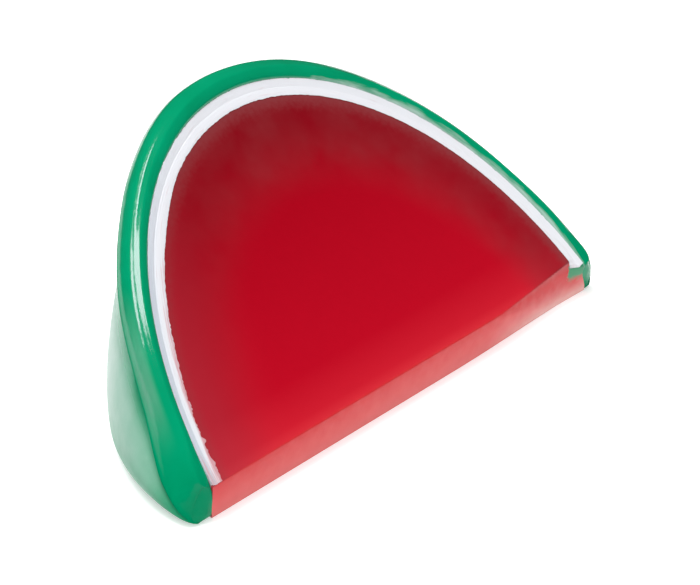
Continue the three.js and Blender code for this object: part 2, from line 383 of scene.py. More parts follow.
def shape_blank(name, loops, sizes, material, open_ends):
    """Join loops of points into a closed blank and let the wedge rule place its points."""
    count = len(loops[0])
    faces = []
    for row in range(len(loops) - 1):
        for i in range(count):
            a = row * count + i
            b = row * count + (i + 1) % count
            faces.append((a, b, b + count, a + count))
    if open_ends:
        last = (len(loops) - 1) * count
        faces.append(tuple(range(count - 1, -1, -1)))
        faces.append(tuple(range(last, last + count)))
    values = np.array(loops, dtype=float).reshape(-1, 9)
    blank = bpy.data.meshes.new(name)
    blank.from_pydata([(0.0, 0.0, 0.0)] * len(values), [], faces)
    for label, column in (("place", 0), ("bead", 3), ("edge", 6)):
        stored = blank.attributes.new(label, "FLOAT_VECTOR", "POINT")
        stored.data.foreach_set("vector", values[:, column:column + 3].ravel())

    maker = bpy.data.objects.new(name + "_blank", blank)
    bpy.context.scene.collection.objects.link(maker)
    tree = bpy.data.node_groups.get("wedge_rule") or wedge_rule()
    modifier = maker.modifiers.new("wedge_rule", "NODES")
    modifier.node_group = tree
    side = profile(sizes)
    settings = {
        "Face Angle": sizes.face_angle,
        "Red Front": (sizes.red_half, sizes.red_reach, 0.0),
        "Red Back": (sizes.red_back_half, sizes.red_back_reach, 0.0),
        "White Front": (sizes.white_half, sizes.white_reach, 0.0),
        "White Back": (sizes.white_back_half, sizes.white_back_reach, 0.0),
        "Wall Front": (sizes.wall_half, sizes.wall_reach, 0.0),
        "Wall Back": (sizes.wall_back_half, sizes.wall_back_reach, 0.0),
        "Rim Step": (sizes.rim_step_side, sizes.rim_step_top, 0.0),
        "Wall Bulge": sizes.wall_bulge,
        "Wall Flatness": sizes.wall_flatness,
        "Foot Radius": sizes.foot_radius,
        "Edge Direction": (0.0, -side["out"][0], -side["out"][1]),
        "Edge Distance": float(-side["out"] @ side["top"]),
        "Pivot": (0.0, PIVOT_Y, 0.0),
        "Material": material,
    }
    for socket in tree.interface.items_tree:
        if socket.name in settings:
            modifier[socket.identifier] = settings[socket.name]
    maker.update_tag()
    bpy.context.view_layer.update()
    graph = bpy.context.evaluated_depsgraph_get()
    mesh = bpy.data.meshes.new_from_object(maker.evaluated_get(graph))
    bpy.data.objects.remove(maker)
    bpy.data.meshes.remove(blank)
    mesh.attributes.remove(mesh.attributes["bead"])
    mesh.name = name
    work = bmesh.new()
    work.from_mesh(mesh)
    bmesh.ops.remove_doubles(work, verts=work.verts, dist=MERGE_DISTANCE)
    bmesh.ops.triangulate(work, faces=[face for face in work.faces if len(face.verts) > 4])
    loose = [edge for edge in work.edges if len(edge.link_faces) != 2]
    if loose:
        places = [tuple(round(v / MM, 3) for v in edge.verts[0].co) for edge in loose[:4]]
        raise RuntimeError(f"{name} is not closed: {len(loose)} edges near {places} mm")
    work.to_mesh(mesh)
    work.free()
    return mesh


# What happens to every layer after the rule.

# Points closer than this are one point, and a form smaller than a hair counts as none.
MERGE_DISTANCE = 0.00005 * MM
HAIR = 0.01 * MM

# A share of the arch closer to 0 or 1 than this lies at its very end.
END_SHARE = 1e-6

# Edges sharper than this stay sharp when the surface is shaded smooth.
SHARP_ANGLE = math.radians(55)

# Radii of the blunt edge's top and bottom corners in millimetres, each along the red, at the left
# end and at the right end, and where along X they change.
RED_CORNERS = ((0.2, 0.2, 0.2), (0.12, 0.12, 0.12))
GREEN_CORNERS = ((0.2, 2.8, 1.5), (0.12, 0.9, 0.6))
CORNER_LEFT = (25.0 * MM, 28.0 * MM)
CORNER_RIGHT = (28.4 * MM, 29.8 * MM)

# How the ends spread toward the ground, in soft steps: how much, from where and up to where, as a
# share of the turn from the face (0) to the ground (1).
SPREAD_LEFT = ((1.0, 0.0, 0.7),)
SPREAD_RIGHT = ((1.65, -0.3, 0.5), (0.4, 0.35, 0.8))
SPREAD_RIGHT_LESS = 0.35

# Where along X the small facet fades out.
FACET_FADE = (26.7 * MM, 27.7 * MM)

# How far the blunt edge's foot lies back at the right, where along X that sets in and is half
# gone again, how deep inside the edge it starts and up to what height it reaches.
FOOT_DRAW = 0.5 * MM
DRAW_ALONG = (8.0 * MM, 30.0 * MM)
DRAW_HALVED = (28.5 * MM, 31.0 * MM)
DRAW_INSIDE = (-6.0 * MM, 0.0)
DRAW_HEIGHT = (0.0, 3.4 * MM)

# How often the feet are smoothed, and the two steps of a round: a pull together and a push apart,
# which keeps the size.
SOFTEN_ROUNDS = 120
SOFTEN_STEPS = (0.5, -0.53)

# Where the smoothing sets in: by the length along X at the left and the right, how strong it is at
# the right, how deep inside the blunt edge, at what height, and how far from the green's border.
SOFTEN_LEFT = (25.5 * MM, 28.0 * MM)
SOFTEN_RIGHT = (28.2 * MM, 29.4 * MM)
SOFTEN_RIGHT_SHARE = 0.6
SOFTEN_INSIDE = (-5.0 * MM, -2.5 * MM)
SOFTEN_HEIGHT = (-0.4 * MM, 1.0 * MM)
SOFTEN_BORDER = 0.15


def round_corner(flat, corner, first, second, radius):
    """Round the corner between two planes: points over the quarter round go onto it."""
    lean = first @ second
    centre = corner - (first + second) * (radius / (1 + lean))[:, None]
    away = flat - centre
    along_first = away @ first
    along_second = away @ second
    inside = (along_first - lean * along_second > 0) & (along_second - lean * along_first > 0)
    length = np.linalg.norm(away, axis=1)
    over = inside & (length > radius)
    flat[over] = centre[over] + away[over] * (radius[over] / length[over])[:, None]


def round_edges(points, sizes, corners, round_ends):
    """Round the blunt edge's two long corners and, where asked, its two ends.

    corners holds the top and the bottom corner's radii.
    """
    side = profile(sizes)
    flat = points[:, 1:] - np.array([PIVOT_Y, 0.0])
    width = np.abs(points[:, 0])
    left = points[:, 0] < 0
    if round_ends:
        inside = (side["top"] - flat) @ side["out"]
        turned = 1 - np.arctan2(flat[:, 1], flat[:, 0]) / sizes.face_angle
        radius = np.where(left, sizes.left_radius, sizes.right_radius)
        spread = np.where(
            left, soft_steps(turned, SPREAD_LEFT), soft_steps(turned, SPREAD_RIGHT) - SPREAD_RIGHT_LESS)
        half = sizes.end_half + sizes.end_spread * spread
        centre = np.stack([half - radius, radius], axis=1)
        away = np.stack([width, inside], axis=1) - centre
        length = np.linalg.norm(away, axis=1)
        over = (away[:, 0] > 0) & (away[:, 1] < 0) & (length > radius)
        pulled = centre + away * (radius / np.maximum(length, MERGE_DISTANCE))[:, None]
        flat[over] -= (pulled[over, 1] - inside[over])[:, None] * side["out"]
        width[over] = pulled[over, 0]
        points[:, 0] = np.sign(points[:, 0]) * width
    near = np.where(left, smooth(width, *CORNER_LEFT), smooth(width, *CORNER_RIGHT))
    for corner, first, second, radii in (
            (side["top"], side["normal"], side["out"], corners[0]),
            (side["bottom"], side["out"], np.array([0.0, -1.0]), corners[1])):
        middle, left_end, right_end = radii
        radius = middle + (np.where(left, left_end, right_end) - middle) * near
        round_corner(flat, corner, first, second, radius * MM)
    points[:, 1:] = flat + np.array([PIVOT_Y, 0.0])


def press_facet(mesh, points, sizes, under):
    """Press the small facet into the blunt edge, and lay the edge's foot back at the right.

    under is how far each point lies beneath the surface and stays beneath it. The points that move
    then count as the blunt edge's own for the finish.
    """
    side = profile(sizes)
    end = sizes.wall_half + sizes.rim_step_side
    start = np.array([end - sizes.facet_length, *side["top"]])
    high = np.array([end, *(side["top"] + side["up"] * sizes.facet_rise)])
    low = np.array([end - sizes.facet_foot, *side["bottom"]])
    out = np.cross(high - start, low - start)
    out /= np.linalg.norm(out)
    if out[1:] @ side["out"] < 0:
        out = -out
    start[1] += PIVOT_Y
    beyond = np.maximum((points - start) @ out + under, 0.0)
    beyond *= 1 - smooth(points[:, 0], *FACET_FADE)
    points -= beyond[:, None] * out
    inside = (points[:, 1:] - np.array([PIVOT_Y, 0.0]) - side["top"]) @ side["out"]
    drawn = smooth(points[:, 0], *DRAW_ALONG) * smooth(inside, *DRAW_INSIDE)
    drawn = drawn * (1 - 0.5 * smooth(points[:, 0], *DRAW_HALVED))
    points[:, 1] += FOOT_DRAW * drawn * (1 - smooth(points[:, 2], *DRAW_HEIGHT))
    points[:, 2] = np.maximum(points[:, 2], 0.0)
    edge = read_vectors(mesh, "edge")
    edge[beyond > HAIR, 1] = 0.0
    mesh.attributes["edge"].data.foreach_set("vector", edge.ravel())


def soften_feet(mesh, points, sizes):
    """Melt the green's corners round the left foot into one smooth form, and a little at the right.

    The border to the white and the red stays where it is.
    """
    side = profile(sizes)
    inside = (points[:, 1:] - np.array([PIVOT_Y, 0.0]) - side["top"]) @ side["out"]
    along, down, across = read_vectors(mesh, "place").T
    border = np.where(along < END_SHARE, TOE_SPREAD[0] + TOE_SLANT[0] * down, 0.0)
    border = np.where(along > 1 - END_SHARE, TOE_SPREAD[1] + TOE_SLANT[1] * down, border)
    share = smooth(across - border, 0.0, SOFTEN_BORDER)
    share = share * np.where(
        points[:, 0] < 0, smooth(-points[:, 0], *SOFTEN_LEFT),
        SOFTEN_RIGHT_SHARE * smooth(points[:, 0], *SOFTEN_RIGHT))
    share = share * smooth(inside, *SOFTEN_INSIDE) * smooth(points[:, 2], *SOFTEN_HEIGHT)
    ends = np.empty(len(mesh.edges) * 2, dtype=int)
    mesh.edges.foreach_get("vertices", ends)
    first, second = ends.reshape(-1, 2).T
    here = np.concatenate((first, second))
    there = np.concatenate((second, first))
    count = np.bincount(here, minlength=len(points))
    for step in SOFTEN_STEPS * SOFTEN_ROUNDS:
        for axis in range(3):
            total = np.bincount(here, weights=points[there, axis], minlength=len(points))
            points[:, axis] += step * share * (total / count - points[:, axis])
    points[:, 2] = np.maximum(points[:, 2], 0.0)


def make_piece(name, mesh, points, node):
    """Put the points back, turn the faces outward and smooth the mesh, and hand the piece to the frame."""
    mesh.vertices.foreach_set("co", points.ravel())
    work = bmesh.new()
    work.from_mesh(mesh)
    bmesh.ops.recalc_face_normals(work, faces=work.faces)
    for face in work.faces:
        face.smooth = True
    if work.calc_volume(signed=True) < 0:
        bmesh.ops.reverse_faces(work, faces=work.faces)
    work.to_mesh(mesh)
    work.free()
    mesh.set_sharp_from_angle(angle=SHARP_ANGLE)
    piece = bpy.data.objects.new(name, mesh)
    bpy.context.scene.collection.objects.link(piece)
    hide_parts(node)
    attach(piece, "root")
    return piece


def read_vectors(mesh, label):
    """One of the mesh's stored vectors, as rows of three numbers."""
    values = np.empty(len(mesh.vertices) * 3)
    mesh.attributes[label].data.foreach_get("vector", values)
    return values.reshape(-1, 3)


def mesh_points(mesh):
    """The mesh's points, and how far those at both ends lie under the blunt edge's own plane."""
    points = read_vectors(mesh, "position")
    edge = read_vectors(mesh, "edge")
    along = read_vectors(mesh, "place")[:, 0]
    at_end = (along < END_SHARE) | (along > 1 - END_SHARE)
    return points, np.where(at_end & (edge[:, 1] > 0.0), edge[:, 0], 0.0)


def arch_stations(steps, crowd=0.35):
    """Shares along the arch, closer together at both ends."""
    share = np.linspace(0.0, 1.0, steps + 1)
    return (1 - crowd) * share + crowd * (0.5 - 0.5 * np.cos(math.pi * share))


# The layers.

# How far the red toes spread along the blunt edge at the right and the left end, and how much
# farther at the ground: 0 reaches the white's outer arch and 1 the wall.
TOE_SPREAD = (0.08, 0.0)
TOE_SLANT = (0.72, 0.2)
TOE_SHARES = (0.0, 0.1, 0.25, 0.5, 0.75, 1.0)


def red_loops(sizes):
    """Blank of the red body: up the face, down the wall, back over the ground, up the edge."""
    section = []
    for k in range(FACE_STEPS):
        section.append((0.0, (k / FACE_STEPS) ** 2))
    for k in range(EDGE_STEPS):
        section.append((0.5 - 0.5 * math.cos(math.pi * k / EDGE_STEPS), 1.0))
    for k in range(GROUND_STEPS):
        section.append((1.0, (1 - k / GROUND_STEPS) ** 2))
    for k in range(EDGE_STEPS):
        section.append((0.5 + 0.5 * math.cos(math.pi * k / EDGE_STEPS), 0.0))

    def loop(along, across, slant, raised):
        return [(along, down, across + slant * down, 0.0, 0.0, 0.0, raised, out, 0.0)
                for down, out in section]

    height = sizes.toe_height
    right = [loop(0.0, TOE_SPREAD[0], TOE_SLANT[0], height * share) for share in TOE_SHARES]
    middle = [loop(along, -1.0, 0.0, height) for along in arch_stations(ARCH_STEPS)]
    left = [loop(1.0, TOE_SPREAD[1], TOE_SLANT[1], height * share) for share in reversed(TOE_SHARES)]
    return right + middle + left


# The white band's top: how far across it from the red's edge (-1) to the green's (0), and its
# height over the face in millimetres. The fine dip is the groove between its two slopes.
WHITE_TOP = (
    (-1.0, -0.25), (-1.0, 0.0), (-0.985, 0.045), (-0.93, 0.065), (-0.75, 0.075), (-0.6, 0.07),
    (-0.545, 0.065), (-0.515, 0.045), (-0.49, 0.045), (-0.46, 0.06), (-0.35, 0.085), (-0.2, 0.13),
    (-0.08, 0.16), (0.0, 0.17), (0.0, -0.1),
)


# How far the brushed ends of the white stop above the blunt edge in millimetres: at the middle of
# the band, and how much more across it. The right end is slanted, and the left one is round and
# laps over the edge.
WHITE_RIGHT_END = 0.2
WHITE_RIGHT_SLANT = -0.16
WHITE_LEFT_END = -0.1
WHITE_LEFT_ROUND = 0.5

# How strongly the white's inner edge is brushed, as a share of the full strokes, in soft steps
# along the arch from the right (0) to the left (1).
BRUSHED_LEAST = 0.3
BRUSHED_MORE = ((0.7, 0.76, 0.86), (3.6, 0.9, 0.96))

# The first stretch of the arch, over which the strokes set in.
BRUSHED_START = (0.0, 0.03)

# How many strokes fit along the arch, how far apart in the noise the two edges lie, and how the
# edges wander: the scale and the size, as a share of the white's width, from broad to finest.
STROKES = 190.0
EDGES_APART = 50.0
WANDER = ((0.35, 0.08), (1.0, 0.09), (2.3, 0.063))

# Where the inner and the outer edge's strokes set in and are full, as shares of the way from the
# green's edge (0) to the red's (1), and how strong the outer ones are.
INNER_STROKES = (0.6, 1.0)
OUTER_STROKES = (0.35, 0.0)
OUTER_STRENGTH = 0.7

# The part of the white next to the red, past this share of its width, laps over the red: how far,
# as a share of the width, and how much more at the left.
LAPPING = 0.9
LAP = 0.05
LAP_MORE = 0.2
LAP_LEFT = (0.64, 0.74, 0.86, 0.95)


def ragged_edge(along, row):
    """How far the brushed edge of the white wanders at this share of the arch."""
    place = Vector((along * STROKES, row * EDGES_APART, 0.0))
    return sum(size * noise.noise(place * scale) for scale, size in WANDER)


def white_loops(sizes):
    """Blank of the white layer: over its top, down its outer wall and back up its inner wall."""
    section = [(0.0, across, lift * MM) for across, lift in WHITE_TOP]
    for k in range(1, WALL_STEPS + 1):
        section.append((k / WALL_STEPS, 0.0, 0.0))
    for k in range(1, WHITE_GROUND_STEPS + 1):
        section.append((1.0, -k / WHITE_GROUND_STEPS, 0.0))
    for k in range(WALL_STEPS - 1, 0, -1):
        section.append((k / WALL_STEPS, -1.0, 0.0))
    loops = []
    for along in arch_stations(ARCH_STEPS * 3):
        brushed = BRUSHED_LEAST + soft_steps(along, BRUSHED_MORE)
        inner = ragged_edge(along, 0) * brushed * smooth(along, *BRUSHED_START)
        outer = ragged_edge(along, 1) * smooth(along, *BRUSHED_START)
        lap = LAP + LAP_MORE * hump(along, *LAP_LEFT)
        loop = []
        for down, across, lift in section:
            shift = 0.0
            raised = sizes.toe_height
            if lift > HAIR:
                shift = inner * smooth(-across, *INNER_STROKES)
                shift += OUTER_STRENGTH * outer * smooth(-across, *OUTER_STROKES)
                place = across + 0.5
                if along < 0.5:
                    raised = (WHITE_RIGHT_END + WHITE_RIGHT_SLANT * place) * MM
                else:
                    raised = (WHITE_LEFT_END + WHITE_LEFT_ROUND * place * place) * MM
                if -across > LAPPING:
                    shift = min(shift, LAP) - lap
            loop.append((along, down, across + shift, 0.0, lift, 0.0, raised, 1.0, 0.0))
        loops.append(loop)
    return loops


# The rim's section: share of the way from the white to the rim's outside, and the height over
# the face in millimetres.
RIM_SECTION = (
    (0.0, 0.18), (0.03, 0.26), (0.08, 0.33), (0.15, 0.385), (0.24, 0.425), (0.33, 0.45), (0.41, 0.457),
    (0.47, 0.45), (0.51, 0.42), (0.55, 0.35), (0.61, 0.245), (0.67, 0.14), (0.71, 0.06),
    (0.75, -0.03), (0.80, -0.13), (0.86, -0.26), (0.91, -0.42), (0.95, -0.6), (0.98, -0.82), (1.0, -1.1),
    (1.0, -1.35), (1.0, -1.65), (0.99, -1.9), (0.96, -2.08), (0.90, -2.2), (0.80, -2.28),
)


# How far the wall starts inside the rim's side, and how far the rim's side flares out at the feet.
RIM_TUCK = 0.3 * MM
FOOT_FLARE = 0.9 * MM

# The reaches over which the rim changes from the feet up. The extra depth of its side fades out, and
# half of it is missing at the very feet. The crown rises out of the right and of the left foot. The
# wall tucks in under the rim, and the painted pale sheen, a painted reflection, on the wall and on the rim's
# side sets in.
RIM_DEEP = (7.0 * MM, 18.0 * MM)
RIM_LESS_DEEP = (3.0 * MM, 9.0 * MM)
CROWN_RIGHT = (3.0 * MM, 9.0 * MM)
CROWN_LEFT = (3.6 * MM, 8.5 * MM)
TUCK_REACH = (5.0 * MM, 14.0 * MM)
SHEEN_REACH = (3.0 * MM, 12.0 * MM)
SIDE_SHEEN_REACH = (7.0 * MM, 14.0 * MM)
SIDE_SHEEN = 0.6

# How much wider the rim is than its plain step, by the turn along the arch in radians, from 0 at
# the right. Both shoulders are wider, and the right one more so. The humps are the right end, its
# last stretch, the top and the slimmer middle of the left shoulder.
SHOULDERS_WIDER = 0.3
RIGHT_SHOULDER = (1.2, 1.7)
LEFT_SHOULDER = (1.73, 2.08, 2.18, 2.53)
RIM_WIDER = (
    (0.35, (-0.9, -0.2, 0.2, 0.9)),
    (0.5, (-0.47, -0.18, 0.18, 0.47)),
    (0.35, (0.86, 1.36, 1.96, 2.46)),
    (-0.5, LEFT_SHOULDER),
)

# The crown is lower on the left shoulder. From there on down to the foot the slope outside it,
# which catches the strip of light, lies a little lower and is broader.
CROWN_LOWER = 0.35
SLOPE_LOWER = 0.06
SLOPE_TURNS = (1.85, 2.1, 2.7, 2.95)
SLOPE_SHARES = (0.43, 0.53, 0.68, 0.9)

# Depths under the face in millimetres, down the rim's side: where the side flares, where the painted
# pale sheen on it lies, and where the groove under the rim is.
FLARE_DOWN = (0.0, 2.3)
SIDE_SHEEN_DOWN = (0.0, 0.4, 0.7, 1.6)
GROOVE_DOWN = (1.5, 1.9)

# The part of the wall, from the rim down, over which it comes out from under the rim, and the steps
# of the wall over which the painted pale sheen on it sets in.
WALL_COMES_OUT = (0.0, 0.7)
WALL_SHEEN_STEPS = (1.0, 5.0)


def green_loop(sizes, along, raised, inner, slant):
    """One loop of the green shell: over the rim, down the wall, over the ground and back up."""
    side = profile(sizes)
    rim_reach = sizes.wall_reach + sizes.rim_step_top
    edge_distance = float(-side["out"] @ side["top"])
    tilt = float(side["normal"] @ side["out"])
    closing = float(-side["up"] @ side["out"])
    depth = sizes.rim_depth
    # The depth depends on the reach and the reach on the depth, so both settle in a few rounds.
    for _ in range(3):
        first = math.asin((edge_distance + raised - tilt * depth) / closing / rim_reach)
        turn = first + along * (math.pi - 2 * first)
        reach = rim_reach * math.sin(turn)
        deeper = 1 - smooth(reach, *RIM_DEEP) - 0.5 * (1 - smooth(reach, *RIM_LESS_DEEP))
        depth = sizes.rim_depth + sizes.rim_deeper * deeper
    crease = math.atan2(depth, reach) / sizes.face_angle
    undercut = smooth(reach, *TUCK_REACH)
    flare = FOOT_FLARE * (1 - undercut)
    rim_half = sizes.wall_half + sizes.rim_step_side + flare - RIM_TUCK * undercut
    half = sizes.wall_half + (sizes.wall_back_half - sizes.wall_half) * crease
    half *= 1 + sizes.wall_bulge * math.sin(math.pi * crease)
    drawn = max(half - rim_half, 0.0) / sizes.rim_step_side
    # Painted reflection: how much pale sheen of the bright floor is painted on the wall and on the rim's
    # side, by reach.
    sheen = smooth(reach, *SHEEN_REACH)
    side_sheen = SIDE_SHEEN * smooth(reach, *SIDE_SHEEN_REACH)
    rise = smooth(reach, *(CROWN_RIGHT if along < 0.5 else CROWN_LEFT))
    rise = rise * (1 - CROWN_LOWER * hump(turn, *LEFT_SHOULDER))
    wider = 1 + SHOULDERS_WIDER * (2 - smooth(turn, *RIGHT_SHOULDER)) * math.sin(2 * turn) ** 2
    wider += sum(more * hump(turn, *span) for more, span in RIM_WIDER)
    lower = SLOPE_LOWER * hump(turn, *SLOPE_TURNS)
    loop = []
    for share, lift in RIM_SECTION:
        lift -= lower * hump(share, *SLOPE_SHARES)
        height = lift * rise if lift > 0 else lift * depth / sizes.rim_depth
        tuck = 1 - (1 - share) * undercut if lift < -1 else share
        spread = flare / sizes.rim_step_side * smooth(-lift, *FLARE_DOWN)
        pale = side_sheen * hump(-lift, *SIDE_SHEEN_DOWN) - smooth(-lift, *GROOVE_DOWN)
        loop.append((0.0, inner + (1 - inner) * tuck, tuck * wider + spread, height, 1.0, pale))
    for k in range(GREEN_WALL_STEPS + 1):
        share = math.sin(0.5 * math.pi * k / GREEN_WALL_STEPS)
        step = -drawn * (1 - smooth(share, *WALL_COMES_OUT))
        pale = sheen * smooth(k, *WALL_SHEEN_STEPS) if k > 1 else k - 1.0
        loop.append((crease + (1 - crease) * share, 1.0, step, 0.0, 1.0, pale))
    for k in range(1, GREEN_GROUND_STEPS + 1):
        share = k / GREEN_GROUND_STEPS
        loop.append((1.0, 1 + (inner + slant - 1) * share, 0.0, 0.0, 1 - share, sheen))
    for k in range(1, GREEN_INNER_STEPS):
        share = 1 - k / GREEN_INNER_STEPS
        loop.append((share, inner + slant * share, 0.0, 0.0, 0.0, 0.0))
    return [(along, down, across, step, lift * MM, foot, raised, 1.0, pale)
            for down, across, step, lift, foot, pale in loop]


# The feet close the shell on the blunt edge with rings that shrink to their middle.
FOOT_RINGS = (0.7, 0.6, 0.5, 0.41, 0.33, 0.26, 0.2, 0.145, 0.1, 0.06, 0.03, 0.01)
FOOT_SHARES = (0.2, 0.45, 0.7, 1.0)


def green_loops(sizes):
    """Blank of the green shell: a foot that closes it, the arch, and the other foot."""
    height = sizes.toe_height
    arch = [green_loop(sizes, along, height, 0.0, 0.0) for along in arch_stations(ARCH_STEPS)]
    feet = []
    for end, inner, slant in ((0.0, TOE_SPREAD[0], TOE_SLANT[0]), (1.0, TOE_SPREAD[1], TOE_SLANT[1])):
        outline = green_loop(sizes, end, 0.0, inner, slant)
        middle = 0.5 * (1 + inner)
        foot = []
        for shrink in FOOT_RINGS:
            keep = 1 - shrink
            foot.append([
                (end, 0.5 + (down - 0.5) * keep, middle + (across - middle) * keep, step * keep,
                 lift * keep, share * keep, 0.0, 1.0, sheen * keep)
                for _, down, across, step, lift, share, _, _, sheen in outline])
        foot.append(outline)
        foot += [green_loop(sizes, end, height * share, inner, slant) for share in FOOT_SHARES]
        feet.append(foot)
    return feet[0] + arch + feet[1][::-1]


# Finishes.

# Length of the arch and widths of the white band and of the rim in millimetres, by which streaks
# that follow them are scaled.
ARCH_LENGTH = 90.0
WHITE_WIDTH = 1.7
RIM_WIDTH = 1.5


def new_material(name):
    """An empty material with its tree, shader and output."""
    material = bpy.data.materials.new(name)
    material.use_nodes = True
    tree = material.node_tree
    tree.nodes.clear()
    shader = add(tree, "ShaderNodeBsdfPrincipled")
    add(tree, "ShaderNodeOutputMaterial", {"Surface": shader})
    return material, tree, shader


def face_place(tree, sizes):
    """Place on the shown face: X along the edge, Y up the face from the pivot line, Z out of it."""
    angle = sizes.face_angle
    coordinates = add(tree, PLACE).outputs["Object"]
    return add(tree, "ShaderNodeMapping", {
        "Vector": coordinates,
        "Location": (0.0, -PIVOT_Y * math.cos(angle), PIVOT_Y * math.sin(angle)),
        "Rotation": (-angle, 0.0, 0.0)}, vector_type="POINT")


def red_face_colour(tree, place, sizes, colours):
    """The face's colour: painted light coming through makes it brightest where the candy is thin and deepest
    where it is thickest; it is duller toward the white, partly from painted shade.
    """
    parts = add(tree, SPLIT, {0: place}).outputs
    # Painted light: brightest low on the face, where the candy is thin and light comes through, and deepest
    # where it is thickest.
    up = add(tree, RANGE, {0: parts[1], 1: 4.5 * MM, 2: 34.0 * MM, 3: 0.0, 4: 1.0})
    body = add(tree, "ShaderNodeValToRGB", {0: up})
    stops = ((0.0, colours.red_lip), (0.05, colours.red_low), (0.17, colours.red_middle),
             (1.0, colours.red_deep))
    for share, _ in stops[1:-1]:
        body.color_ramp.elements.new(share)
    for element, (_, colour) in zip(body.color_ramp.elements, stops):
        element.color = (*colour, 1)

    # Less light comes through within about 9 mm of the white, most of all at the right.
    arch = add(tree, VECTOR_MATH, {0: place, 1: (1 / sizes.red_half, 1 / sizes.red_reach, 0.0)},
               operation="MULTIPLY")
    arch = add(tree, VECTOR_MATH, {0: arch}, operation="LENGTH").outputs["Value"]
    most = add(tree, RANGE, {0: parts[0], 1: -27.0 * MM, 2: 0.0, 3: 0.2, 4: 0.36})
    shade = add(tree, RANGE, {0: arch, 1: 0.70, 2: 0.95, 3: 0.0, 4: most}, interpolation_type="SMOOTHSTEP")
    colour = add(tree, MIX, {0: shade, 6: body, 7: (*colours.red_shade, 1)}, data_type="RGBA").outputs[2]

    # The left part is slightly dull, from some 10 mm inside the white on.
    veil = add(tree, RANGE, {0: parts[0], 1: -12.0 * MM, 2: -27.0 * MM, 3: 0.0, 4: 0.22})
    veil = add(tree, RANGE, {0: arch, 1: 0.62, 2: 0.9, 3: 0.0, 4: veil})
    colour = add(tree, MIX, {0: veil, 6: colour, 7: (*colours.red_veil, 1)}, data_type="RGBA").outputs[2]

    # Cloudy patches about 4 mm wide lie within 5 to 10 mm of the white, less so at the left.
    cloud = add(tree, NOISE, {"Vector": place, "Scale": 1 / (4.0 * MM), "Detail": 5.0})
    upper = add(tree, RANGE, {0: parts[0], 1: -20.0 * MM, 2: -2.0 * MM, 3: 0.04, 4: 0.30})
    patch = add(tree, RANGE, {0: cloud, 1: 0.2, 2: 0.75, 3: 0.0, 4: upper})
    ring = add(tree, RANGE, {0: arch, 1: 0.68, 2: 0.84, 3: 0.0, 4: patch}, interpolation_type="SMOOTHSTEP")
    colour = add(tree, MIX, {0: ring, 6: colour, 7: (*colours.red_haze, 1)}, data_type="RGBA").outputs[2]

    # The dull line right beside the white is about 1.5 mm wide and frays out over 0.5 mm.
    fray = add(tree, NOISE, {"Vector": place, "Scale": 1 / (0.5 * MM), "Detail": 3.0})
    edge = add(tree, MATH, {0: fray, 1: 0.03, 2: arch}, operation="MULTIPLY_ADD")
    dull = add(tree, RANGE, {0: parts[0], 1: -25.0 * MM, 2: -5.0 * MM, 3: 0.35, 4: 0.75})
    haze = add(tree, RANGE, {0: edge, 1: 0.955, 2: 1.025, 3: 0.0, 4: dull}, interpolation_type="SMOOTHSTEP")
    return add(tree, MIX, {0: haze, 6: colour, 7: (*colours.red_haze, 1)}, data_type="RGBA").outputs[2]


def red_edge_colour(tree, place, spot, colours):
    """The blunt edge's colour, with painted light: it is painted paler toward its foot and more so at its
    right end, for the light of the bright floor.
    """
    right = add(tree, RANGE, {0: spot[0], 1: 13.0 * MM, 2: 22.0 * MM, 3: 0.0, 4: 1.0})
    low = add(tree, MIX, {0: right, 6: (*colours.red_edge_foot, 1), 7: (*colours.red_edge_end, 1)},
              data_type="RGBA").outputs[2]
    high = add(tree, RANGE, {0: spot[2], 1: 3.4 * MM, 2: 4.4 * MM, 3: 0.0, 4: 1.0})
    top = add(tree, MIX, {0: high, 6: (*colours.red_edge_top, 1), 7: (*colours.red_facet, 1)},
              data_type="RGBA").outputs[2]
    steep = add(tree, RANGE, {0: spot[0], 1: 16.0 * MM, 2: 24.0 * MM, 3: 1.6, 4: 3.2})
    foot = add(tree, RANGE, {0: spot[2], 1: 3.8 * MM, 2: 0.4 * MM, 3: 0.0, 4: 1.0})
    foot = add(tree, MATH, {0: foot, 1: steep}, operation="POWER")

    # It is mottled in spots some 1.2 mm wide.
    mottle = add(tree, NOISE, {"Vector": place, "Scale": 1 / (1.2 * MM), "Detail": 4.0})
    mottle = add(tree, RANGE, {0: mottle, 1: 0.3, 2: 0.7, 3: -0.06, 4: 0.06})
    foot = add(tree, MATH, {0: foot, 1: mottle}, operation="ADD", use_clamp=True)
    return add(tree, MIX, {0: foot, 6: top, 7: low}, data_type="RGBA").outputs[2]


def green_on_red(tree, place, spot):
    """How thick the green is smeared on the right end of the edge: over its last millimetre or so,
    2 to 4 mm over the ground, and frayed by up to 0.5 mm in spots some 0.6 mm wide."""
    fringe = add(tree, NOISE, {"Vector": place, "Scale": 1 / (0.6 * MM), "Detail": 3.0})
    fringe = add(tree, RANGE, {0: fringe, 3: -0.5 * MM, 4: 0.5 * MM})
    end = add(tree, MATH, {0: spot[0], 1: fringe}, operation="ADD")
    high = add(tree, MATH, {0: spot[2], 1: fringe}, operation="ADD")
    end = add(tree, RANGE, {0: end, 1: 26.6 * MM, 2: 26.8 * MM, 3: 0.0, 4: 0.95})
    end = add(tree, RANGE, {0: spot[2], 1: 3.8 * MM, 2: 4.0 * MM, 3: end, 4: 0.0})
    return add(tree, RANGE, {0: high, 1: 2.0 * MM, 2: 2.7 * MM, 3: 0.0, 4: end})


